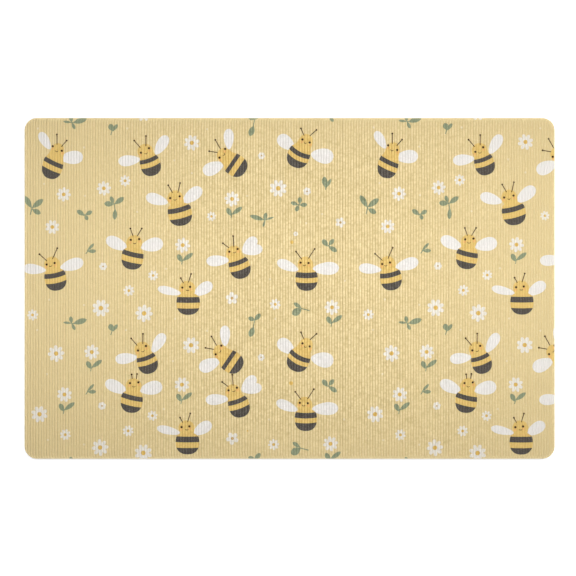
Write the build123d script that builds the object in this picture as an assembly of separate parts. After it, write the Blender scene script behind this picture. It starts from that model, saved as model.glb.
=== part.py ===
from build123d import *

import os

# A cushioned floor mat, cut with rounded corners from a laminate of five layers: a rubber
# backing with a grip pattern, an adhesive film, a foam core, a second adhesive film and a
# printed cloth face with ribs that run along Y.
#
# Millimetres. +X runs along the long edges, +Y towards the far long edge and +Z up. The
# origin is the centre of the underside, on the plane that the mat rests on.

# Outline
length = 700.0
width = 450.0
corner_radius = 16.5

# Rubber backing: a sheet, with a rim and a field of grip studs under it
sheet_thickness = 1.2
grip_height = 0.8
rim_width = 12.0
rim_chamfer = 0.5
least_inner_radius = 2.0
stud_diameter = 8.0
stud_pitch = 25.0
stud_rim_gap = 8.0

# Layers above the rubber
film_thickness = 0.2
core_thickness = 3.3
face_base_thickness = 1.2

# Ribs of the face
rib_pitch = 3.59
rib_height = 1.1

# Levels, from the floor up
sheet_bottom = grip_height
lower_film_bottom = sheet_bottom + sheet_thickness
core_bottom = lower_film_bottom + film_thickness
upper_film_bottom = core_bottom + core_thickness
face_bottom = upper_film_bottom + film_thickness
rib_foot = face_bottom + face_base_thickness
face_top = rib_foot + rib_height


def outline(inset=0.0):
    """The mat's outline, moved in by inset on every side."""
    radius = max(corner_radius - inset, least_inner_radius)
    return RectangleRounded(length - 2 * inset, width - 2 * inset, radius)


def layer(bottom, thickness):
    """A flat sheet of the mat's outline."""
    return extrude(Pos(0, 0, bottom) * outline(), thickness)


def stud_places():
    """Centres of the grip studs: staggered rows that fill the field inside the rim."""
    border = rim_width + stud_rim_gap + stud_diameter / 2
    row_gap = stud_pitch * 3**0.5 / 2
    rows = int((width - 2 * border) / row_gap) + 1
    in_long_row = int((length - 2 * border) / stud_pitch) + 1
    places = []
    for row in range(rows):
        in_row = in_long_row - row % 2
        y = (row - (rows - 1) / 2) * row_gap
        for i in range(in_row):
            places.append(((i - (in_row - 1) / 2) * stud_pitch, y))
    return places


def make_rubber_backing():
    """The moulded sheet with its rim and studs, which touch the floor together."""
    sheet = layer(sheet_bottom, sheet_thickness)
    rim = extrude(outline(), grip_height) - extrude(outline(rim_width), grip_height)
    foot = rim.faces().sort_by(Axis.Z)[0]
    rim = chamfer(foot.outer_wire().edges(), rim_chamfer)
    discs = Locations(*stud_places()) * Circle(stud_diameter / 2)
    studs = [extrude(disc, grip_height) for disc in discs]
    return sheet.fuse(rim, *studs)


def make_printed_face():
    """A sheet whose top is a row of round-backed ribs, from one short edge to the other."""
    ribs = round(length / rib_pitch)
    pitch = length / ribs
    with BuildSketch(Plane.XZ) as section:
        with BuildLine():
            Polyline(
                (-length / 2, rib_foot),
                (-length / 2, face_bottom),
                (length / 2, face_bottom),
                (length / 2, rib_foot),
            )
            for i in range(ribs):
                right = length / 2 - i * pitch
                left = right - pitch
                top = (right + left) / 2, face_top
                ThreePointArc((right, rib_foot), top, (left, rib_foot))
        make_face()
    ribbed_block = extrude(section.sketch, width / 2, both=True)
    return ribbed_block & layer(face_bottom, face_top - face_bottom)


nodes = {
    "rubber_backing": make_rubber_backing(),
    "lower_adhesive_film": layer(lower_film_bottom, film_thickness),
    "foam_core": layer(core_bottom, core_thickness),
    "upper_adhesive_film": layer(upper_film_bottom, film_thickness),
    "printed_face": make_printed_face(),
}

os.makedirs("parts", exist_ok=True)
for name, shape in nodes.items():
    export_step(shape, f"parts/{name}.step")
    print(name, len(shape.solids()), "solid", round(shape.volume), "mm3")
print("height", round(face_top, 3), "mm,", len(stud_places()), "studs")
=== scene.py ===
import math

import bpy
import numpy as np
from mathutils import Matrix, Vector


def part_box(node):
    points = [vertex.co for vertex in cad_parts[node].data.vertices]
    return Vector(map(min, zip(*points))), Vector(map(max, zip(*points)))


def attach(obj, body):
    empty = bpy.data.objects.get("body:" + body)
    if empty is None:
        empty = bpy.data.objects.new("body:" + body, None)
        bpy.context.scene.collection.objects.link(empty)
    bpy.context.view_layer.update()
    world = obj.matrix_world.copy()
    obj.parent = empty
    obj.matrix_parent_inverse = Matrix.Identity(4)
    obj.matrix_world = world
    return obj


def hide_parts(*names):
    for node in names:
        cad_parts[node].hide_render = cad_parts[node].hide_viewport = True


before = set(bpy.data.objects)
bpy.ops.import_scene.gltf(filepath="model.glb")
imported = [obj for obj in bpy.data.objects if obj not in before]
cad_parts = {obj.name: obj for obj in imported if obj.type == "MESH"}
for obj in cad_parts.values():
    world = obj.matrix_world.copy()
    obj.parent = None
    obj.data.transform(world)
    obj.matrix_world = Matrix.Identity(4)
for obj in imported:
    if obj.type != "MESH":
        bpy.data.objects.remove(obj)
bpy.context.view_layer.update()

# A cushioned floor mat: a rubber backing, two adhesive films, a foam core and a ribbed cloth
# face with a repeating print of bees, daisies and leaf sprigs. The mat's length, width and
# levels come from the CAD frame, and sizes that the frame doesn't give are written below. The
# print is drawn in millimetres, and everything else is in metres.

MM = 0.001

# ---------------------------------------------------------------- sizes

face_low, face_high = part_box("printed_face")
foam_low, foam_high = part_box("foam_core")
rubber_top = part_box("rubber_backing")[1].z

mat_length = face_high.x - face_low.x
mat_width = face_high.y - face_low.y
corner_radius = 16.5 * MM
least_radius = 2 * MM

# Face: a base cloth with ribs along Y, in bands that lie side by side. The ribs are pressed
# down over edge_round along the cut edge, and start cut_inset inside it.
rib_height = 1.1 * MM
rib_foot = face_high.z - rib_height
ribs = 195
bands = 5
steps_per_rib = 6
rows = 360
rib_pitch = mat_length / ribs
bead_length = 3.4 * MM
least_rise = 0.04 * MM
rib_sway = 0.5 * MM
edge_round = 2.4 * MM
cut_inset = 0.5 * MM

# A block of cloth as it is before its top is shaped and its outline is cut
block_height = 10 * MM
block_margin = 2 * MM
die_depth = 3 * MM

# The ribs' light and dark are strongest around lively_middle and even out towards both ends
lively_middle = 30 * MM
lively_half = 100 * MM
calm_end = 240 * MM
calm_border = 60 * MM
border_calm = 0.55

# Yarns of the cloth
strand_length = 11 * MM
knot_length = 2.2 * MM
cloud_size = 60 * MM
weft_pitch = 0.62 * MM
warp_pitch = 0.8 * MM

# Films of ink, which are cut from tall prisms of the print's outlines
ink_thickness = 0.05 * MM
art_low = rib_foot - 2 * MM
art_high = rib_foot + 4 * MM

# Rubber backing
sheet_bottom = 0.8 * MM
rim_width = 12 * MM
stud_diameter = 8 * MM
stud_pitch = 25 * MM
stud_rim_gap = 8 * MM

# Camera, which looks straight down at a stretch of view_width of the mat's top
camera_lens = 85
camera_sensor = 36
view_width = 0.7597
view_centre = Vector((-0.0021, 0.0005))

# The print repeats once along X. The second repeat lies this far off, in millimetres, and is
# a little narrower and taller, as if the cloth had been pulled while it was printed.
repeat_shift = (438.5, 0.5)
repeat_stretch = (0.9871, 1.0035)


# ---------------------------------------------------------------- node helpers


class Signal:
    """One output socket, which takes part in sums."""

    def __init__(self, net, socket):
        self.net = net
        self.socket = socket

    def out(self, name):
        return Signal(self.net, self.socket.node.outputs[name])

    def maths(self, operation, *terms):
        return self.net.add("ShaderNodeMath", {"operation": operation}, dict(enumerate(terms)))

    def through(self, operation):
        """This signal through a Math node that takes one input."""
        return self.maths(operation, self)

    def __add__(self, other):
        return self.maths("ADD", self, other)

    def __sub__(self, other):
        return self.maths("SUBTRACT", self, other)

    def __rsub__(self, other):
        return self.maths("SUBTRACT", other, self)

    def __mul__(self, other):
        return self.maths("MULTIPLY", self, other)

    def __truediv__(self, other):
        return self.maths("DIVIDE", self, other)

    def __pow__(self, other):
        return self.maths("POWER", self, other)

    __radd__ = __add__
    __rmul__ = __mul__

    def least(self, other):
        """This signal, but at least other."""
        return self.maths("MAXIMUM", self, other)

    def most(self, other):
        """This signal, but at most other."""
        return self.maths("MINIMUM", self, other)

    def clamped(self):
        return self.least(0.0).most(1.0)


class Net:
    """A node tree that grows one node at a time."""

    def __init__(self, tree):
        self.tree = tree

    def add(self, kind, settings=(), inputs=()):
        node = self.tree.nodes.new(kind)
        for name, value in dict(settings).items():
            setattr(node, name, value)
        for name, value in dict(inputs).items():
            for term in value if isinstance(value, list) else [value]:
                if isinstance(term, Signal):
                    self.tree.links.new(term.socket, node.inputs[name])
                else:
                    node.inputs[name].default_value = term
        return Signal(self, node.outputs[0]) if len(node.outputs) else node

    def mix(self, amount, low, high):
        """The colour low where amount is 0, and high where it is 1."""
        mixed = self.add("ShaderNodeMix", {"data_type": "RGBA"}, {0: amount, 6: low, 7: high})
        return Signal(self, mixed.socket.node.outputs[2])

    def noise(self, place, scale, detail=2.0):
        return self.add(
            "ShaderNodeTexNoise", {}, {"Vector": place, "Scale": scale, "Detail": detail}
        )

    def point(self, x, y, z):
        return self.add("ShaderNodeCombineXYZ", {}, {0: x, 1: y, 2: z})


def tool(name, mesh):
    """A new object in the scene, either a piece or a shape for the trees to read."""
    piece = bpy.data.objects.new(name, mesh)
    bpy.context.scene.collection.objects.link(piece)
    return piece


def geometry_tree(name, **inputs):
    """A Geometry Nodes tree with named inputs, and its input sockets."""
    tree = bpy.data.node_groups.new(name, "GeometryNodeTree")
    for label, kind in inputs.items():
        tree.interface.new_socket(label, in_out="INPUT", socket_type=kind)
    tree.interface.new_socket("Mesh", in_out="OUTPUT", socket_type="NodeSocketGeometry")
    net = Net(tree)
    return net, net.add("NodeGroupInput")


def close_tree(net, mesh, material=None):
    """Ends a tree in Realize Instances and Set Material."""
    real = net.add("GeometryNodeRealizeInstances", {}, {0: mesh})
    painted = net.add("GeometryNodeSetMaterial", {}, {"Geometry": real})
    if material:
        painted.socket.node.inputs["Material"].default_value = material
    net.add("NodeGroupOutput", {}, {0: painted})


def grow(name, net, **sizes):
    """The plain mesh object that a tree makes with these sizes."""
    piece = tool(name, bpy.data.meshes.new(name))
    modifier = piece.modifiers.new(name, "NODES")
    modifier.node_group = net.tree
    for item in net.tree.interface.items_tree:
        if item.in_out == "INPUT" and item.name in sizes:
            modifier[item.identifier] = sizes[item.name]
    evaluated = piece.evaluated_get(bpy.context.evaluated_depsgraph_get())
    mesh = bpy.data.meshes.new_from_object(evaluated)
    piece.modifiers.clear()
    piece.data = mesh
    mesh.name = name
    return piece


def boolean(net, operation, *meshes):
    """The meshes joined, cut or shared, all of them closed."""
    settings = {"operation": operation, "solver": "MANIFOLD"}
    if operation == "DIFFERENCE":
        return net.add("GeometryNodeMeshBoolean", settings, {0: meshes[0], 1: list(meshes[1:])})
    return net.add("GeometryNodeMeshBoolean", settings, {1: list(meshes)})


def shape_of(net, piece):
    return net.add("GeometryNodeObjectInfo", {}, {"Object": piece}).out("Geometry")


def remove(*pieces):
    for piece in pieces:
        bpy.data.objects.remove(piece)


# ---------------------------------------------------------------- outlines


def circle(x, y, radius, points=14):
    turns = [2 * math.pi * i / points for i in range(points)]
    return [(x + radius * math.cos(a), y + radius * math.sin(a)) for a in turns]


def placed(outline, x, y, degrees):
    """An outline turned about its own origin, then moved to x, y."""
    c = math.cos(math.radians(degrees))
    s = math.sin(math.radians(degrees))
    return [(x + u * c - v * s, y + u * s + v * c) for u, v in outline]


def rounded_rectangle(length, width, radius, steps=12):
    outline = []
    for turn, (right, up) in enumerate(((1, 1), (-1, 1), (-1, -1), (1, -1))):
        for i in range(steps + 1):
            a = math.pi / 2 * (turn + i / steps)
            x = right * (length / 2 - radius) + radius * math.cos(a)
            y = up * (width / 2 - radius) + radius * math.sin(a)
            outline.append((x, y))
    return outline


def mat_outline(inset):
    radius = max(corner_radius - inset, least_radius)
    return rounded_rectangle(mat_length - 2 * inset, mat_width - 2 * inset, radius)


def prisms(name, outlines, low, high, unit=1.0):
    """A mesh of closed upright prisms, one for each outline."""
    points = []
    faces = []
    for outline in outlines:
        after = outline[1:] + outline[:1]
        area = sum(a[0] * b[1] - b[0] * a[1] for a, b in zip(outline, after)) / 2
        if area < 0:
            outline = outline[::-1]
        first = len(points)
        count = len(outline)
        points += [(x * unit, y * unit, z) for z in (low, high) for x, y in outline]
        faces.append([first + i for i in reversed(range(count))])
        faces.append([first + count + i for i in range(count)])
        for i in range(count):
            j = (i + 1) % count
            faces.append([first + i, first + j, first + count + j, first + count + i])
    mesh = bpy.data.meshes.new(name)
    mesh.from_pydata(points, [], faces)
    return mesh


# ---------------------------------------------------------------- materials

# How bright a white surface that faces up is under the studio light, and the most that any
# surface sends back
light_level = 1.12
most_reflected = 0.95


def reflectance(red, green, blue):
    """The reflectance that shows as this screen colour under the studio light."""
    linear = []
    for level in (red, green, blue):
        level /= 255
        level = level / 12.92 if level <= 0.04045 else ((level + 0.055) / 1.055) ** 2.4
        linear.append(min(level / light_level, most_reflected))
    return (*linear, 1.0)


def material(name):
    """A new material, its net and its shader."""
    made = bpy.data.materials.new(name)
    made.use_nodes = True
    net = Net(made.node_tree)
    return made, net, made.node_tree.nodes["Principled BSDF"]


def set_shader(net, shader, **values):
    for name, value in values.items():
        socket = shader.inputs[name.replace("_", " ").title()]
        if isinstance(value, Signal):
            net.tree.links.new(value.socket, socket)
        else:
            socket.default_value = value


def bumped(net, shader, height, strength, distance):
    bump = net.add(
        "ShaderNodeBump", {}, {"Height": height, "Strength": strength, "Distance": distance}
    )
    net.tree.links.new(bump.socket, shader.inputs["Normal"])


def edge_depth(x, y):
    """How far a place lies inside the mat's cut edge."""
    across = (x.through("ABSOLUTE") - (mat_length / 2 - corner_radius)).least(0.0)
    along = (y.through("ABSOLUTE") - (mat_width / 2 - corner_radius)).least(0.0)
    return corner_radius - (across * across + along * along) ** 0.5


def calmness(x, y):
    """How far the ribs' light and dark are evened out: fully at the ends, half at the sides."""
    ends = ((x - lively_middle).through("ABSOLUTE") - lively_half) / calm_end
    sides = (1 - (mat_width / 2 - y.through("ABSOLUTE")) / calm_border) * border_calm
    return ends.clamped().least(sides.clamped())


def ribbed_cloth(name, groove_shade, bead_highlight, fleck_highlight, lift=0.0, flecking=0.5):
    """Ribbed cloth with painted shade in the grooves, painted highlights on the beads, lighter
    flecks painted as highlights, and fine yarns.

    lift is how far above the bare cloth it lies, and flecking how much the flecks show.
    """
    made, net, shader = material(name)
    place = net.add("ShaderNodeTexCoord").out("Object")
    split = net.add("ShaderNodeSeparateXYZ", {}, {0: place})
    x, y, z = split, split.out("Y"), split.out("Z")
    height = ((z - (rib_foot + lift)) / rib_height).clamped()

    # Each rib has noise of its own, read from a far-off place that its number gives
    rib = ((x + mat_length / 2) / rib_pitch).through("FLOOR")
    strands = net.noise(net.point(rib * 3.17, y / strand_length + rib * 0.43, 0.5), 1.0, 2.0)
    knots = net.noise(net.point(rib * 5.3, y / knot_length + rib * 0.29, 7.5), 1.0, 1.0)
    grain = net.noise(net.point(x / (0.9 * MM), y / (1.1 * MM), z / MM), 1.0, 2.0)
    cloud = net.noise(net.point(x / cloud_size, y / cloud_size, 0.5), 1.0, 2.0)

    # The tone is 0 in a groove and 1 on a bead: painted shade in the grooves and painted highlights
    # on the beads, taken from the height on the rib, with the yarns' own random tone added
    shade_and_yarns = height * 0.88 + (strands - 0.5) * 0.5 + (knots - 0.5) * 0.45 + (grain - 0.5) * 0.5
    tone = shade_and_yarns + calmness(x, y) * (0.5 - shade_and_yarns) + 0.04 + (cloud - 0.5) * 0.04
    pressed = (1 - edge_depth(x, y) / (2 * edge_round)).clamped()
    tone = tone + pressed * (0.75 - height)
    # The groove colour is painted shade and the bead colour a painted highlight; the tone mixes
    # them.
    colour = net.mix(tone.clamped(), groove_shade, bead_highlight)
    # Lighter flecks, shown only on the bead tops, are painted highlights.
    highlight_flecks = ((grain - 0.55) * 5.0).clamped() * height
    colour = net.mix(highlight_flecks * flecking, colour, fleck_highlight)

    weft = (x * (2 * math.pi / weft_pitch)).through("SINE")
    warp = (y * (2 * math.pi / warp_pitch) + rib * 2.1).through("SINE")
    fine = net.noise(net.point(x / (0.22 * MM), y / (0.35 * MM), z / (0.3 * MM)), 1.0, 2.0)
    weave = weft * 0.25 + warp * 0.3
    bumped(net, shader, weave + fine * 1.2 + grain * 0.8, 0.5, 0.1 * MM)
    set_shader(net, shader, base_color=colour, roughness=0.85 + (fine - 0.5) * 0.2)
    shader.inputs["Sheen Weight"].default_value = 0.08
    shader.inputs["Sheen Roughness"].default_value = 0.6
    shader.inputs["Specular IOR Level"].default_value = 0.2
    return made


# Each cloth and ink below has a groove colour, which is painted shade, a bead colour, which is a
# painted highlight, and a fleck colour for lighter flecks painted as highlights on the bead tops.
face_cloth = ribbed_cloth(
    "butter_cloth", reflectance(190, 168, 114), reflectance(246, 226, 176), reflectance(255, 240, 200)
)
honey_ink = ribbed_cloth(
    "honey_ink", reflectance(194, 158, 82), reflectance(242, 212, 134), reflectance(250, 226, 160), ink_thickness
)
charcoal_ink = ribbed_cloth(
    "charcoal_ink", reflectance(50, 45, 40), reflectance(102, 96, 89), reflectance(150, 146, 142), ink_thickness, 0.8
)
white_ink = ribbed_cloth(
    "white_ink", reflectance(212, 208, 203), reflectance(247, 243, 239), reflectance(255, 254, 252), ink_thickness
)
petal_ink = ribbed_cloth(
    "petal_ink", reflectance(202, 194, 180), reflectance(252, 247, 238), reflectance(255, 254, 248), ink_thickness
)
sage_ink = ribbed_cloth(
    "sage_ink", reflectance(104, 114, 86), reflectance(163, 172, 141), reflectance(186, 194, 168), ink_thickness
)
ochre_ink = ribbed_cloth(
    "ochre_ink", reflectance(186, 150, 72), reflectance(240, 202, 114), reflectance(246, 214, 140), ink_thickness
)
taupe_ink = ribbed_cloth(
    "taupe_ink", reflectance(166, 136, 86), reflectance(216, 182, 124), reflectance(230, 202, 150), ink_thickness
)
cream_ink = ribbed_cloth(
    "cream_ink", reflectance(206, 188, 146), reflectance(250, 236, 204), reflectance(255, 244, 218), ink_thickness
)
blush_ink = ribbed_cloth(
    "blush_ink", reflectance(200, 153, 82), reflectance(248, 203, 131), reflectance(252, 217, 156), ink_thickness
)
brown_ink = ribbed_cloth(
    "brown_ink", reflectance(40, 24, 8), reflectance(84, 56, 26), reflectance(100, 74, 46), ink_thickness, 0.3
)


def rubber():
    made, net, shader = material("black_rubber")
    place = net.add("ShaderNodeTexCoord").out("Object")
    grain = net.noise(place, 2200.0, 3.0)
    patches = net.noise(place, 26.0, 2.0)
    tone = (patches * 0.6 + grain * 0.4).clamped()
    colour = net.mix(tone, (0.012, 0.012, 0.013, 1), (0.035, 0.034, 0.033, 1))
    bumped(net, shader, grain, 0.5, 0.08 * MM)
    set_shader(net, shader, base_color=colour, roughness=0.55 + patches * 0.3)
    return made


def foam():
    made, net, shader = material("grey_foam")
    place = net.add("ShaderNodeTexCoord").out("Object")
    cells = net.add("ShaderNodeTexVoronoi", {}, {"Vector": place, "Scale": 1900.0})
    mottle = net.noise(place, 60.0, 2.0)
    # The foam is darker in the middles of its cells, where the bump sinks them into pits: painted
    # shade.
    tone = (cells * 1.1 + (mottle - 0.5) * 0.4).clamped()
    colour = net.mix(tone, (0.16, 0.155, 0.145, 1), (0.34, 0.33, 0.31, 1))
    bumped(net, shader, cells, 0.8, 0.25 * MM)
    set_shader(net, shader, base_color=colour, roughness=0.9 + mottle * 0.08)
    return made


def adhesive():
    made, net, shader = material("cloudy_adhesive")
    place = net.add("ShaderNodeTexCoord").out("Object")
    streaks = net.noise(place, 180.0, 3.0)
    colour = net.mix(streaks, (0.52, 0.47, 0.34, 1), (0.68, 0.63, 0.5, 1))
    bumped(net, shader, streaks, 0.3, 0.05 * MM)
    set_shader(net, shader, base_color=colour, roughness=0.25 + streaks * 0.2)
    return made


# ---------------------------------------------------------------- the print's motifs

# Every bee is drawn about its own middle, with its head up. lean turns the body, shift moves
# it, girth and stretch are its width and height as shares of the usual ones, and head is how
# far the head lies to one side and half its width. slope turns the stripes, band is the middle
# of the dark band, thick its thickness, cap how far below it the dark cap starts and bow how
# far the stripes' edges are bowed. A wing has its middle, length, width and direction, and an
# antenna its root and tip. sag is how deep the smile is.
bee_kinds = {
    "climbing": dict(
        lean=13, shift=(-1.2, -1.2), girth=0.91, stretch=1.1, neck="sloped", head=(1.8, 8.4),
        slope=-25.5, band=(-1.7, -3.4), cap=9.6, bow=1, thick=6,
        wings=((-12.7, 25.7, 26, 12, 121), (22.5, 3.6, 30, 17, 4)),
        eyes=((-2.5, 18.5), (9.5, 12.5)), smile=(2.5, 12),
        antennae=((3.5, 23, 3, 34), (10, 20, 16, 26)),
    ),
    "turning": dict(
        lean=-16, shift=(0.6, 2.3), girth=0.91, stretch=0.99, neck="round", head=(-1.6, 9.8),
        slope=20, band=(0.7, 2.7), cap=9, bow=2, thick=5.6,
        wings=((-25.5, 1.7, 29, 14, 186), (16.8, 22, 29, 14, 58)),
        eyes=((-10, 12), (0.5, 18)), smile=(-3.5, 11),
        antennae=((-4, 23, -3.5, 34), (-12, 20.5, -19, 28)),
    ),
    "gliding": dict(
        lean=-9, shift=(1.4, -1.2), girth=1.07, stretch=1.08, neck="straight", head=(-3.1, 10),
        slope=14, band=(0.8, -3.2), cap=11.2, bow=1.2, thick=6.6,
        wings=((-28, 10.2, 30, 14.5, 163), (18.5, 15.8, 31, 16, 38)),
        eyes=((-10.5, 12), (2, 14.5)), smile=(-4, 10),
        antennae=((-8, 21, -13, 29), (-0.5, 21, 2.5, 32)),
    ),
    "resting": dict(
        lean=4, shift=(0.2, -0.8), girth=0.98, stretch=1.04, neck="straight", head=(1, 9.8),
        slope=-13, band=(1, -3.2), cap=10.6, bow=1, thick=6.4,
        wings=((-20.5, 10.8, 32, 15.5, 154), (25.3, 9.3, 30, 17.5, 12)),
        eyes=((-2.5, 16), (8.5, 17)), smile=(2.5, 11.5),
        antennae=((0.5, 23, -3, 31), (6.5, 23, 12, 31)),
    ),
    "peeking": dict(
        lean=-9, shift=(1.2, 1.1), girth=0.97, stretch=1.03, neck="straight", head=(-1.5, 9.8),
        slope=12, band=(1.2, -0.3), cap=10.2, bow=1.6, thick=6.4,
        wings=((-25.8, 7.3, 30, 13, 174), (23.5, 13, 32, 15.5, 17)),
        eyes=((-9.5, 13.5), (1, 15.5)), smile=(-4.5, 11.5),
        antennae=((-10, 20, -19, 27), (-2, 23, 4.5, 35)),
    ),
    "hovering": dict(
        lean=0, shift=(0.3, 0), girth=1.05, stretch=1.02, neck="straight", head=(-1.3, 10),
        slope=0, band=(0.3, -2.2), cap=11.2, bow=0.4, thick=7.6, sag=0.5,
        wings=((-24.5, 9.5, 32, 10.5, 167), (19.8, 12, 28, 15, 32)),
        eyes=((-7.5, 14), (2.8, 15)), smile=(-0.5, 10.5),
        antennae=((-6.5, 22, -9.5, 26.5), (0.5, 23, 4, 32)),
    ),
    "diving": dict(
        lean=-56, shift=(-1.8, 0), girth=0.98, stretch=1.02, neck="sloped", head=(2.6, 9.2),
        slope=56, band=(0.2, -0.5), cap=9.8, bow=0, thick=5.4,
        wings=((-5.2, 31, 27, 13, 91), (-25.7, -7.2, 29, 17, 203)),
        eyes=((-10, 18), (-17.5, 6.5)), smile=(-11.5, 10.5),
        antennae=((-18, 20, -23, 30), (-22, 14.5, -31, 15)),
    ),
    "rising": dict(
        lean=21, shift=(-0.8, 1.5), girth=1, stretch=1.07, neck="sloped", head=(2.2, 8.9),
        slope=-25, band=(-0.2, -2.2), cap=8.8, bow=2.6, thick=6.2,
        wings=((-19.5, 12.3, 27, 17, 140), (28, -5, 30, 19.5, -8)),
        eyes=((2, 16.5), (11.5, 12.5)), smile=(5.5, 12),
        antennae=((4.5, 24, 0, 31), (13, 23.5, 20.5, 29)),
    ),
    "waving": dict(
        lean=-16, shift=(1.4, 1.6), girth=0.94, stretch=1.03, neck="round", head=(-2.6, 9.6),
        slope=21, band=(2, 1.9), cap=10, bow=1.6, thick=6,
        wings=((-25.8, 3.5, 30, 14, 183), (16, 24.5, 26, 14, 47), (20, 17.5, 27, 13.5, 10)),
        eyes=((-10.5, 15.5), (0.5, 19)), smile=(-3.5, 14.5),
        antennae=((-12, 22.5, -19, 26.5), (-5, 24, -5.5, 36)),
    ),
    "sitting": dict(
        lean=0, shift=(0.4, 0), girth=0.99, stretch=1.03, neck="straight", head=(-1.6, 9.2),
        slope=0, band=(0.4, -1.4), cap=10, bow=1.2, thick=7.4,
        wings=((-24.5, 10.8, 30, 13, 157), (25.7, 7.2, 35, 16.5, 3)),
        eyes=((-7.5, 15), (3, 14.5)), smile=(-2.5, 11.5),
        antennae=((-6.5, 21.5, -13.5, 29.5), (3, 22.5, 11, 33)),
    ),
}

# This one is like the resting bee, with shorter antennae
bee_kinds["nodding"] = bee_kinds["resting"] | dict(
    antennae=((0.5, 24, -0.3, 27.5), (6.5, 24, 6.8, 28))
)

eye_radius = 1.55
blush_radius = 2.1
usual_sag = 1.3
cap_bottom = -30
antenna_thickness = 1.1
antenna_tip_radius = 1.25
antenna_start = 0.9

# Where the bees lie in one repeat
bees = (
    ("climbing", -310, 169), ("turning", -186, 167), ("gliding", -147, 107),
    ("resting", -207, 48), ("peeking", -311, 18), ("hovering", -134, -13),
    ("diving", -75, 166), ("rising", 15, 180), ("waving", -69, 33), ("sitting", 22, 19),
    ("turning", -190, -94), ("diving", -80, -93.5), ("rising", 15, -89),
    ("nodding", -208, -141), ("waving", -70, -150), ("sitting", 21, -166),
    ("hovering", -135, -197),
)

# Daisies as place and diameter, of three kinds, and the daisies that have leaves below them.
# Every diameter is made larger by daisy_scale.
daisy_scale = 1.06
full_daisies = (
    (-129, 192, 20), (-217, 142, 14), (-245, 132, 18), (-298, 124, 18), (-313, 81, 18),
    (-15, 132, 22), (-76, 118, 19), (-103, 95, 12), (-141, 57, 19), (-180, 17, 13),
    (-212, -3, 14), (-249, -26, 22), (-192, -33, 22), (-339, -35, 14), (56, -25, 19),
    (-19, -21, 14), (-308, -86, 21), (-261, -84, 19), (-130, -75, 21), (-297, -140, 19),
    (-330, -166, 21), (-181, -168, 13), (-142, -127, 19), (-296, -193, 14),
    (-213, -188, 14), (-250, -210, 21), (-193, -217, 22), (-21, -206, 14), (54, -205, 19),
    (-192.5, 232, 22),
)
five_petal_daisies = ((-76, -13, 16), (-75.5, -198, 16), (67, 87, 13))
button_daisies = (
    (-37, 175, 9), (23, 128, 10), (-246, 29, 10), (-37.5, -91, 9), (-247.5, -155, 10),
    (8, 72, 6),
)
leafy_daisies = (
    (-76, 118), (-141, 57), (56, -25), (-261, -84), (-297, -140), (-142, -127), (54, -205),
)
daisy_leaves = ((-1, -22, -6.5, -12, 5.6), (0, -20.5, 13.5, -10.5, 5), (0, -19, -1.5, -25.5, 1.2))

# Each sprig is a list of leaves: where the leaf starts and ends, and its width. One that is
# narrower than least_leaf is a straight stalk.
least_leaf = 2
stalk_thickness = 1.2
sprig_kinds = {
    "cross": (
        (-0.5, 0.5, -2, 9, 4.6), (-1, 0, -11.5, 1.2, 2.8), (2, -0.5, 19.5, 5, 6.3),
        (0, -1, 4, -9, 3.8),
    ),
    "pair": ((0, 0, -3, 9, 6.3), (1, 0, 7, 8.5, 4), (0, 0.5, -2, -5.5, 1.2)),
    "fan": (
        (-0.5, 1, -10, 16.5, 6.2), (0.5, 1, 15, 12, 6.3), (1, -1.5, 11.5, -7, 5.8),
        (0, 0, -2, -8.5, 1.4),
    ),
    "tee": ((-1, -1, -10.5, 5.5, 5.3), (1, -0.5, 9.5, 4.5, 4.8), (0.5, -1, 3.5, -7.5, 4.4)),
    "branch": (
        (-1, -0.5, -13, 0.5, 6.3), (-1, 1, -4.5, 10, 4.5), (1, 0, 13, 8.5, 5.8),
        (1.5, -7, 0.6, -21, 5), (0, 0, 1.5, -8, 1.2),
    ),
    "stalk": (
        (0, 0, 7.5, 8.5, 5.3), (0, 0, -8.5, 3.5, 5), (-1.5, -9, -6.5, -22, 6.6),
        (0, 0, -2.5, -11.5, 1.2),
    ),
    "horns": ((0, 1, -2, 15.5, 6.3), (1, 1.5, 7.5, 12.5, 3.6), (0, -1, 0.5, 2.5, 1.2)),
    "clover": (
        (1.5, 1.5, 1.5, 10, 4.8), (-1, 0, -10.5, 3, 4.5), (1.5, -0.5, 11.5, 0, 4.8),
        (-0.5, -1, -3.5, -9, 4.8),
    ),
    "vine": (
        (-1, 0, -19.5, 5.5, 5.2), (0, -1, 2, 9.5, 4.6), (1, 0, 12.5, 3.6, 2.2),
        (0.5, -1, -2, -9.5, 2.6),
    ),
    "bud": ((0.5, 1, 9, 10.2, 3.2), (1, 0, 11.8, 0.2, 4.4), (1, 0.5, -2, -3.5, 1.2)),
    "star": ((-1, 0, -7.5, 8.5, 5.8), (1, 1, 7.5, 9, 4.8), (1, -0.5, 11.5, -7.5, 5.3)),
    "wedge": ((-0.5, 1, -10, 7.5, 4.5), (0, -0.5, -12, -8, 8.5), (0, 0, 11, -3, 1.4)),
    "tip": ((0, 0, 5, -6, 4),),
}
sprigs = (
    ("cross", -287, -46), ("cross", -287, 219), ("cross", -287, -231), ("pair", -234, 208),
    ("pair", -234, -56), ("fan", -340, 105.5), ("tee", -270, 97.5), ("branch", -231.5, 111.5),
    ("stalk", -46, -42), ("stalk", -46, 223), ("stalk", -46, -226), ("horns", 47.5, 132),
    ("clover", 12, 110.5), ("vine", -33, 90.5), ("bud", -267, 49), ("bud", -267, -136.5),
    ("star", 51, 56), ("star", 51, -129), ("wedge", 15.5, -26.5), ("wedge", 14, -210.5),
    ("tip", 53, 226),
)

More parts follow.
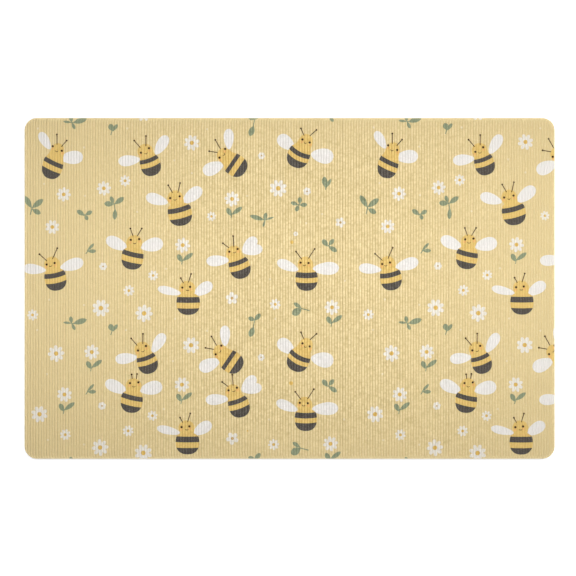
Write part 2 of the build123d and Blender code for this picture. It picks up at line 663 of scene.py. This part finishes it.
# Small cream specks, and ochre dots as place and radius
speck_radius = 1.5
specks = (
    (-332, 211), (-214, 211), (-324, 138), (-271, 186), (-152, 169), (-129, 152), (-201, 101),
    (-270, 122), (-109, 210), (-56, 122), (43, 98), (22, 86), (-163, 26), (-317, -15),
    (-271, -22), (-333, -55), (-216, -55), (-151, -40), (-154, -96), (-26, 12), (73, 10),
    (-109, -56), (-19, -40), (-320, -113), (-166, -159), (-319, -200), (-271, -206),
    (-27, -173), (72, -173),
)
ochre_dots = ((3, 61, 2.4), (2, -125, 2.6), (-55.5, -188, 1.1))


def lobe(t, middle, reach, half_width, power=2.0):
    """Half the width, at height t, of a rounded lobe."""
    return half_width * max(0, 1 - abs((t - middle) / reach) ** power) ** (1 / power)


# The usual body, from its lowest point to the top of its head, with a lobe for the abdomen and
# one for the head. A lobe has a middle, a reach, a half width and a power. Each kind of neck is
# the lobe that joins the two, then the reach and the power of the abdomen's shoulders. The
# head is moved sideways step by step, up to head_rise.
body_low = -21.6
body_high = 22.4
abdomen_middle = -6.4
abdomen_half = 14.8
abdomen_power = 2.3
head_middle = 13.1
head_reach = 9.3
head_power = 2.15
head_rise = 12
neck_kinds = {
    "straight": (8, 10, 8.4, 4, 12.4, 3.2),
    "round": (8, 10, 8.2, 4, 15.2, 2.3),
    "sloped": (4, 12.5, 9.8, 2, 14.6, 2.3),
}


def body_outline(bee, steps=24):
    """A bee's body: a round abdomen and a head, joined by a smooth neck."""
    *neck, shoulder, shoulder_power = neck_kinds[bee["neck"]]
    head_offset, head_half = bee["head"]
    right = []
    left = []
    for i in range(steps + 1):
        t = body_low + (body_high - body_low) * (1 - math.cos(math.pi * i / steps)) / 2
        if t > abdomen_middle:
            abdomen = lobe(t, abdomen_middle, shoulder, abdomen_half, shoulder_power)
        else:
            below = abdomen_middle - body_low
            abdomen = lobe(t, abdomen_middle, below, abdomen_half, abdomen_power)
        head = lobe(t, head_middle, head_reach, head_half, head_power)
        widths = abdomen * bee["girth"], head, lobe(t, *neck)
        half = sum(width**5 for width in widths) ** 0.2
        share = min(max(t / head_rise, 0), 1)
        middle = head_offset * share**2 * (3 - 2 * share)
        right.append((middle + half, t * bee["stretch"]))
        left.append((middle - half, t * bee["stretch"]))
    return placed(right + left[-2:0:-1], *bee["shift"], -bee["lean"])


def wing_outline(length, width, egg=0.27, steps=26):
    """An egg, with its wide end towards +X. egg is how far it is from an oval."""
    turns = [2 * math.pi * i / steps for i in range(steps)]
    return [
        (length / 2 * math.cos(a), width / 2 * math.sin(a) * (1 + egg * math.cos(a)))
        for a in turns
    ]


def stripe(top, bottom, bow, half=19, bowed_half=14, steps=8):
    """A stripe across the body, its edges lower by bow in the middle than at bowed_half."""
    across = [half * (2 * i / steps - 1) for i in range(steps + 1)]
    sag = [(x, bow * ((x / bowed_half) ** 2 - 0.5)) for x in across]
    return [(x, top + v) for x, v in sag] + [(x, bottom + v) for x, v in reversed(sag)]


def line_outline(x0, y0, x1, y1, thickness):
    """A thin straight line with square ends."""
    length = math.hypot(x1 - x0, y1 - y0)
    across = (y0 - y1) / length * thickness / 2, (x1 - x0) / length * thickness / 2
    return [
        (x0 - across[0], y0 - across[1]), (x1 - across[0], y1 - across[1]),
        (x1 + across[0], y1 + across[1]), (x0 + across[0], y0 + across[1]),
    ]


def smile_outline(x, y, lean, sag, half=2.1, thickness=0.85, steps=8):
    """A small curved mouth."""
    across = [half * (2 * i / steps - 1) for i in range(steps + 1)]
    upper = [(u, sag * ((u / half) ** 2 - 0.5) + thickness / 2) for u in across]
    lower = [(u, v - thickness) for u, v in reversed(upper)]
    return placed(upper + lower, x, y, -lean)


def leaf_outline(x0, y0, x1, y1, width, steps=10):
    """A leaf that widens towards its round tip."""
    length = math.hypot(x1 - x0, y1 - y0)
    turn = math.degrees(math.atan2(y1 - y0, x1 - x0))
    if width < least_leaf:
        return line_outline(x0, y0, x1, y1, width)
    upper = []
    for i in range(1, steps):
        share = i / steps
        upper.append((length * share, width * 0.58 * math.sin(math.pi * share**1.15) ** 0.6))
    lower = [(u, -v) for u, v in reversed(upper)]
    return placed([(0, 0.4), *upper, (length, 0), *lower, (0, -0.4)], x0, y0, turn)


def flower_outline(petals, gap, steps_per_petal=8):
    """A flower of unit diameter, with its petals parted by notches."""
    outline = []
    count = petals * steps_per_petal
    for i in range(count):
        a = 2 * math.pi * i / count
        petal = abs(math.cos(petals * a / 2)) ** 0.75
        radius = 0.5 * (gap + (1 - gap) * petal)
        outline.append((radius * math.cos(a), radius * math.sin(a)))
    return outline


def add_bee(art, kind, x, y):
    """Adds one bee's outlines to the art, each to the list of its colour."""
    bee = bee_kinds[kind]
    bow = bee["bow"]
    art["body"].append(placed(body_outline(bee), x, y, 0))
    band = stripe(bee["thick"] / 2, -bee["thick"] / 2, bow)
    cap = stripe(-bee["cap"], cap_bottom, bow)
    for outline in (band, cap):
        u, v = bee["band"]
        art["stripes"].append(placed(outline, x + u, y + v, bee["slope"]))
    for i, (u, v, length, width, turn) in enumerate(bee["wings"]):
        wing = placed(wing_outline(length, width), x + u, y + v, turn)
        art["wings" if i < 2 else "lobes"].append(wing)
    for u, v in bee["eyes"]:
        art["dots"].append(circle(x + u, y + v, eye_radius))
    u, v = bee["smile"]
    smile = smile_outline(x + u, y + v, bee["lean"], bee.get("sag", usual_sag))
    art["lines"].append(smile)
    (left_x, left_y), (right_x, right_y) = bee["eyes"]
    for u, v in ((left_x - 0.5, left_y - 3), (right_x + 1, right_y - 3)):
        art["blush"].append(circle(x + u, y + v, blush_radius))
    for u0, v0, u1, v1 in bee["antennae"]:
        root = x + u0 * antenna_start, y + v0 * antenna_start
        art["lines"].append(line_outline(*root, x + u1, y + v1, antenna_thickness))
        art["dots"].append(circle(x + u1, y + v1, antenna_tip_radius))


def draw_art():
    """Every outline of one repeat, in lists in which no two outlines overlap.

    A leaf that starts a little way from its sprig's middle gets a short stalk to it.
    """
    names = ("body", "stripes", "wings", "lobes", "dots", "lines", "blush", "specks", "ochre")
    art = {name: [] for name in names}
    for kind, x, y in bees:
        add_bee(art, kind, x, y)
    art["specks"] = [circle(x, y, speck_radius, 8) for x, y in specks]
    art["ochre"] = [circle(x, y, radius, 12) for x, y, radius in ochre_dots]
    plants = [(x, y, sprig_kinds[kind]) for kind, x, y in sprigs]
    plants += [(x, y, daisy_leaves) for x, y in leafy_daisies]
    for x, y, leaves in plants:
        for i, (u0, v0, u1, v1, width) in enumerate(leaves):
            leaf = leaf_outline(x + u0, y + v0, x + u1, y + v1, width)
            art.setdefault(f"leaf_{i}", []).append(leaf)
            apart = math.hypot(u0, v0)
            if 0.5 < apart < 4:
                reach = 1 + stalk_thickness / apart
                stalk = line_outline(x, y, x + u0 * reach, y + v0 * reach, stalk_thickness)
                art.setdefault(f"leaf_stalk_{i}", []).append(stalk)
    return art


# ---------------------------------------------------------------- trees


def rib_tree():
    """Ribbed cloth over a rectangle, cut to the mat's outline. Its underside is flat."""
    net, group = geometry_tree(
        "ribs",
        Die="NodeSocketObject",
        Left="NodeSocketFloat",
        Span="NodeSocketFloat",
        Columns="NodeSocketInt",
        Rows="NodeSocketInt",
        Lift="NodeSocketFloat",
    )
    grid = net.add(
        "GeometryNodeMeshGrid",
        {},
        {
            "Size X": group.out("Span"),
            "Size Y": mat_width + 2 * block_margin,
            "Vertices X": group.out("Columns"),
            "Vertices Y": group.out("Rows"),
        },
    )
    middle = net.point(group.out("Left") + group.out("Span") / 2, 0.0, 0.0)
    grid = net.add("GeometryNodeTransform", {}, {"Geometry": grid, "Translation": middle})
    under = net.add("GeometryNodeFlipFaces", {}, {0: grid})
    upper = net.add(
        "GeometryNodeExtrudeMesh",
        {"mode": "FACES"},
        {"Mesh": grid, "Offset Scale": block_height, "Individual": False},
    )
    block = net.add("GeometryNodeJoinGeometry", {}, {0: [under, upper]})
    block = net.add("GeometryNodeMergeByDistance", {}, {"Geometry": block, "Distance": 0.01 * MM})

    split = net.add("ShaderNodeSeparateXYZ", {}, {0: net.add("GeometryNodeInputPosition")})
    x, y, z = split, split.out("Y"), split.out("Z")
    number = (x + mat_length / 2) / rib_pitch
    rib = number.through("FLOOR")
    back = (number.through("FRACT") * math.pi).through("SINE").least(0.0) ** 0.7
    beads = net.noise(net.point(rib * 7.31, y / bead_length + rib * 0.37, 0.5), 1.0, 1.0)
    swell = (0.78 + (beads - 0.5) * 1.2).least(0.4).most(1.0)

    depth = edge_depth(x, y) - cut_inset
    press = (1 - depth / edge_round).clamped() ** 2.5
    rise = (rib_height * (back * swell) - press * rib_height).least(least_rise)

    sway = net.noise(net.point(x / (14 * MM), y / (9 * MM), 4.0), 1.0, 1.0) - 0.5
    top = net.point(x + sway * rib_sway, y, rib_foot + rise + group.out("Lift"))
    is_top = z.maths("GREATER_THAN", z, block_height / 2)
    shaped = net.add(
        "GeometryNodeSetPosition",
        {},
        {"Geometry": block, "Selection": is_top, "Position": top},
    )
    cut = boolean(net, "INTERSECT", shaped, shape_of(net, group.out("Die")))
    close_tree(net, cut, face_cloth)
    return net


def ribbed(name, net, first, last, lift=0.0):
    """The ribs from number first to number last."""
    return grow(
        name,
        net,
        Die=rib_die,
        Left=first * rib_pitch - mat_length / 2,
        Span=(last - first) * rib_pitch,
        Columns=(last - first) * steps_per_rib + 1,
        Rows=rows + 1,
        Lift=lift,
    )


def daisy_tree():
    """Copies of one flower on the points of a mesh, each with its own size and turn."""
    net, group = geometry_tree("daisies", Points="NodeSocketObject", Flower="NodeSocketObject")
    size = net.add("GeometryNodeInputNamedAttribute", {"data_type": "FLOAT"}, {"Name": "size"})
    turn = net.add("GeometryNodeInputNamedAttribute", {"data_type": "FLOAT"}, {"Name": "turn"})
    flowers = net.add(
        "GeometryNodeInstanceOnPoints",
        {},
        {
            "Points": shape_of(net, group.out("Points")),
            "Instance": shape_of(net, group.out("Flower")),
            "Rotation": net.point(0.0, 0.0, turn),
            "Scale": net.point(size, size, 1.0),
        },
    )
    close_tree(net, flowers)
    return net


def daisy_points(name, places):
    """Points with the size of the daisy that lies on each, and a turn that looks like chance."""
    mesh = bpy.data.meshes.new(name)
    mesh.from_pydata([(x * MM, y * MM, 0) for x, y, _ in places], [], [])
    size = mesh.attributes.new("size", "FLOAT", "POINT")
    turn = mesh.attributes.new("turn", "FLOAT", "POINT")
    for i, (x, y, diameter) in enumerate(places):
        size.data[i].value = diameter * daisy_scale
        turn.data[i].value = (x * 0.37 + y * 0.61) % (2 * math.pi)
    return tool(name, mesh)


def print_film(name, ink, art, within=(), over=()):
    """A film of one ink: its art, repeated, less what lies over it, laid on the ribs."""
    inputs = {"Face": rib_face, "Raised": raised_face}
    for label, tools in (("Art", art), ("Within", within), ("Over", over)):
        for i, piece in enumerate(tools):
            inputs[f"{label} {i + 1}"] = piece
    net, group = geometry_tree(name, **{label: "NodeSocketObject" for label in inputs})
    again = {
        "Translation": (repeat_shift[0] * MM, repeat_shift[1] * MM, 0.0),
        "Scale": (*repeat_stretch, 1.0),
    }

    def merged(label, count):
        """All art under this label, and its copy one repeat along."""
        parts = [shape_of(net, group.out(f"{label} {i + 1}")) for i in range(count)]
        whole = boolean(net, "UNION", *parts) if count > 1 else parts[0]
        moved = net.add("GeometryNodeTransform", {}, {"Geometry": whole, **again})
        return boolean(net, "UNION", whole, moved)

    shape = merged("Art", len(art))
    if within:
        shape = boolean(net, "INTERSECT", shape, merged("Within", len(within)))
    if over:
        shape = boolean(net, "DIFFERENCE", shape, merged("Over", len(over)))
    raised = shape_of(net, group.out("Raised"))
    film = boolean(net, "INTERSECT", raised, shape)
    film = boolean(net, "DIFFERENCE", film, shape_of(net, group.out("Face")))
    close_tree(net, film, ink)
    return grow(name, net, **inputs)


def stud_tree():
    """Domed grip studs on points, joined to the moulded sheet."""
    net, group = geometry_tree(
        "grip_studs", Sheet="NodeSocketObject", Points="NodeSocketObject", Stud="NodeSocketObject"
    )
    studs = net.add(
        "GeometryNodeInstanceOnPoints",
        {},
        {
            "Points": shape_of(net, group.out("Points")),
            "Instance": shape_of(net, group.out("Stud")),
        },
    )
    studs = net.add("GeometryNodeRealizeInstances", {}, {0: studs})
    whole = boolean(net, "UNION", shape_of(net, group.out("Sheet")), studs)
    close_tree(net, whole, rubber())
    return net


# ---------------------------------------------------------------- pieces


def lofted(name, levels, outline_at):
    """A closed solid through outlines, one for each level of inset and height."""
    points = []
    faces = []
    for inset, height in levels:
        points += [(x, y, height) for x, y in outline_at(inset)]
    count = len(outline_at(0.0))
    for level in range(len(levels) - 1):
        for i in range(count):
            j = (i + 1) % count
            low = level * count
            faces.append([low + i, low + j, low + count + j, low + count + i])
    faces.append(list(reversed(range(count))))
    faces.append([len(points) - count + i for i in range(count)])
    mesh = bpy.data.meshes.new(name)
    mesh.from_pydata(points, [], faces)
    return mesh


def smooth(piece, degrees):
    """Smooth shading, with edges sharper than this left sharp."""
    piece.data.shade_smooth()
    piece.data.set_sharp_from_angle(angle=math.radians(degrees))


def lay_out(piece):
    """A flat map from above, with the underside and the walls in strips beside it."""
    top_width = 0.9
    under_start = 0.92
    wall_start = 0.96
    strip_width = 0.03
    least_facing = 0.2
    mesh = piece.data
    points = np.empty(len(mesh.vertices) * 3, np.float32)
    mesh.vertices.foreach_get("co", points)
    points = points.reshape(-1, 3)
    points = (points - points.min(0)) / np.ptp(points, axis=0)
    corners = np.empty(len(mesh.loops), np.int32)
    mesh.loops.foreach_get("vertex_index", corners)
    counts = np.empty(len(mesh.polygons), np.int32)
    mesh.polygons.foreach_get("loop_total", counts)
    normals = np.empty(len(mesh.polygons) * 3, np.float32)
    mesh.polygons.foreach_get("normal", normals)
    facing = np.repeat(normals.reshape(-1, 3)[:, 2], counts)[:, None]
    u, v, w = points[corners].T
    top = np.stack([top_width * u, v], 1)
    under = np.stack([under_start + strip_width * u, v], 1)
    wall = np.stack([wall_start + strip_width * w, (u + v) / 2], 1)
    flat = np.where(facing < -least_facing, under, wall)
    flat = np.where(facing > least_facing, top, flat)
    layer = mesh.uv_layers.new(name="OFBake")
    layer.uv.foreach_set("vector", flat.astype(np.float32).ravel())


def make_rubber():
    """The moulded sheet with its rim and its field of studs."""
    levels = [
        (rim_width + 0.1 * MM, sheet_bottom), (rim_width, sheet_bottom - 0.1 * MM),
        (rim_width, 0.2 * MM), (rim_width - 0.2 * MM, 0.0), (0.5 * MM, 0.0), (0.1 * MM, 0.3 * MM),
        (0.0, 0.6 * MM), (0.0, rubber_top - 0.1 * MM), (0.1 * MM, rubber_top),
    ]
    sheet = tool("rubber_sheet", lofted("rubber_sheet", levels, mat_outline))
    radius = stud_diameter / 2
    stud_levels = [
        (0.9 * MM, 0.0), (0.35 * MM, 0.08 * MM), (0.08 * MM, 0.3 * MM), (0.0, 0.6 * MM),
        (-0.15 * MM, sheet_bottom), (-0.15 * MM, sheet_bottom + 0.3 * MM),
    ]
    stud = tool("stud", lofted("stud", stud_levels, lambda inset: circle(0, 0, radius - inset, 20)))
    border = rim_width + stud_rim_gap + radius
    row_gap = stud_pitch * math.sqrt(3) / 2
    row_count = int((mat_width - 2 * border) / row_gap) + 1
    in_long_row = int((mat_length - 2 * border) / stud_pitch) + 1
    places = []
    for row in range(row_count):
        in_row = in_long_row - row % 2
        for i in range(in_row):
            x = (i - (in_row - 1) / 2) * stud_pitch
            places.append((x, (row - (row_count - 1) / 2) * row_gap, 0.0))
    field = bpy.data.meshes.new("stud_places")
    field.from_pydata(places, [], [])
    points = tool("stud_places", field)
    piece = grow("rubber_backing_sheet", stud_tree(), Sheet=sheet, Points=points, Stud=stud)
    remove(sheet, stud, points)
    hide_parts("rubber_backing")
    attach(piece, "root")
    smooth(piece, 40)


def make_foam():
    """The foam core, its cut edge drawn in a little between the two films."""
    low = foam_low.z
    high = foam_high.z
    draw_in = 0.45 * MM
    steps = 8
    levels = []
    for i in range(steps + 1):
        share = i / steps
        levels.append((draw_in * math.sin(math.pi * share) ** 0.8, low + (high - low) * share))
    piece = tool("foam_cushion", lofted("foam_cushion", levels, mat_outline))
    piece.data.materials.append(foam())
    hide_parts("foam_core")
    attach(piece, "root")
    smooth(piece, 40)


def make_base_cloth():
    """The base of the face, whose cut edge is rounded over."""
    levels = [
        (0.0, face_low.z), (0.0, rib_foot - 0.55 * MM), (0.06 * MM, rib_foot - 0.3 * MM),
        (0.22 * MM, rib_foot - 0.1 * MM), (cut_inset, rib_foot),
    ]
    piece = tool("base_cloth", lofted("base_cloth", levels, mat_outline))
    piece.data.materials.append(face_cloth)
    smooth(piece, 50)
    return piece


rib_die = tool(
    "rib_die", prisms("rib_die", [mat_outline(cut_inset)], rib_foot, rib_foot + die_depth)
)
ribs_net = rib_tree()
rib_face = ribbed("whole_face", ribs_net, -1, ribs + 1)
raised_face = ribbed("raised_face", ribs_net, -1, ribs + 1, ink_thickness)

art = {
    name: tool(name, prisms(name, outlines, art_low, art_high, MM))
    for name, outlines in draw_art().items()
}
leaves = [piece for name, piece in art.items() if name.startswith("leaf_")]

# The daisies, of each kind: places, petals, the width across the notches between the petals
# and the centre's diameter, both as shares of the flower's diameter
daisies = daisy_tree()
flowers = []
centres = []
for kind, places, petals, gap, centre in (
    ("full", full_daisies, 8, 0.56, 0.27),
    ("five", five_petal_daisies, 5, 0.52, 0.24),
    ("button", button_daisies, 6, 0.8, 0.22),
):
    points = daisy_points(f"{kind}_places", places)
    petal_outline = flower_outline(petals, gap)
    centre_outline = circle(0, 0, centre / 2, 10)
    petal_shape = prisms(f"{kind}_petals", [petal_outline], art_low, art_high, MM)
    centre_shape = prisms(f"{kind}_centre", [centre_outline], art_low, art_high, MM)
    for group, shape in ((flowers, petal_shape), (centres, centre_shape)):
        pattern = tool(shape.name, shape)
        group.append(grow(f"{shape.name}_art", daisies, Points=points, Flower=pattern))
        remove(pattern)
    remove(points)

# The films of ink. Each is cut away under the inks that lie over it.
brown = [art["dots"], art["lines"]]
white = [art["wings"], art["lobes"]]
body = art["body"]
prints = [
    print_film("print_brown", brown_ink, brown),
    print_film("print_blush", blush_ink, [art["blush"]], [body], brown),
    print_film("print_charcoal", charcoal_ink, [art["stripes"]], [body], brown),
    print_film("print_honey", honey_ink, [body], (), [art["stripes"], art["blush"], *brown]),
    print_film("print_ochre", ochre_ink, [centres[0], art["ochre"]]),
    print_film("print_centres", taupe_ink, centres[1:]),
    print_film("print_specks", cream_ink, [art["specks"]], (), [art["wings"], body]),
    print_film("print_white", white_ink, white, (), [body, *brown]),
    print_film("print_petals", petal_ink, flowers, (), [*centres, *white, body]),
    print_film("print_sage", sage_ink, leaves, (), [*flowers, *white, body, *brown]),
]

# The first band and the last reach one rib past the cut edge
edges = [round(ribs * i / bands) for i in range(bands + 1)]
edges[0] -= 1
edges[-1] += 1
rib_bands = [
    ribbed(f"rib_band_{i + 1}", ribs_net, edges[i], edges[i + 1]) for i in range(bands)
]

base_cloth = make_base_cloth()
for piece in [*rib_bands, *prints]:
    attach(piece, "root")
    smooth(piece, 55)
    lay_out(piece)
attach(base_cloth, "root")
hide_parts("printed_face")
make_foam()
make_rubber()
remove(rib_die, rib_face, raised_face, *art.values(), *flowers, *centres)

glue = adhesive()
for name in ("lower_adhesive_film", "upper_adhesive_film"):
    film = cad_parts[name]
    film.data.materials.clear()
    film.data.materials.append(glue)

# ---------------------------------------------------------------- floor, light and camera

floor_material, _, floor_shader = material("white_floor")
floor_shader.inputs["Base Color"].default_value = (0.9, 0.9, 0.9, 1)
floor_shader.inputs["Roughness"].default_value = 0.9
floor_shader.inputs["Emission Color"].default_value = (1, 1, 1, 1)
floor_shader.inputs["Emission Strength"].default_value = 0.6
floor_half = 6.0
floor_mesh = bpy.data.meshes.new("floor")
floor_corners = [(-floor_half, -floor_half, 0), (floor_half, -floor_half, 0),
                 (floor_half, floor_half, 0), (-floor_half, floor_half, 0)]
floor_mesh.from_pydata(floor_corners, [], [(0, 1, 2, 3)])
floor_mesh.materials.append(floor_material)
tool("floor", floor_mesh)


def soft_light(name, place, aim, size, power, colour=(1, 1, 1)):
    """A large rectangular lamp that points at aim and isn't in the picture."""
    lamp = bpy.data.lights.new(name, "AREA")
    lamp.shape = "RECTANGLE"
    lamp.size, lamp.size_y = size
    lamp.energy = power
    lamp.color = colour
    holder = bpy.data.objects.new(name, lamp)
    bpy.context.scene.collection.objects.link(holder)
    holder.location = place
    holder.rotation_euler = (Vector(aim) - Vector(place)).to_track_quat("-Z", "Y").to_euler()
    holder.visible_camera = False


soft_light("overhead", (0.045, 0.038, 0.52), (0.045, 0.038, 0), (1.22, 0.3), 4.2)
soft_light("window", (1.5, 0.9, 1.5), (0, 0, 0), (1.0, 1.0), 12, (1, 0.95, 0.84))

world = bpy.data.worlds.new("studio")
bpy.context.scene.world = world
world.use_nodes = True
world.node_tree.nodes["Background"].inputs["Color"].default_value = (1, 1, 1, 1)
world.node_tree.nodes["Background"].inputs["Strength"].default_value = 0.3
bpy.context.scene.view_settings.view_transform = "Standard"

camera = bpy.data.objects.new("camera", bpy.data.cameras.new("camera"))
bpy.context.scene.collection.objects.link(camera)
camera.data.lens = camera_lens
camera.data.sensor_width = camera_sensor
camera_height = view_width * camera_lens / camera_sensor
camera.location = (*view_centre, face_high.z + camera_height)
bpy.context.scene.camera = camera
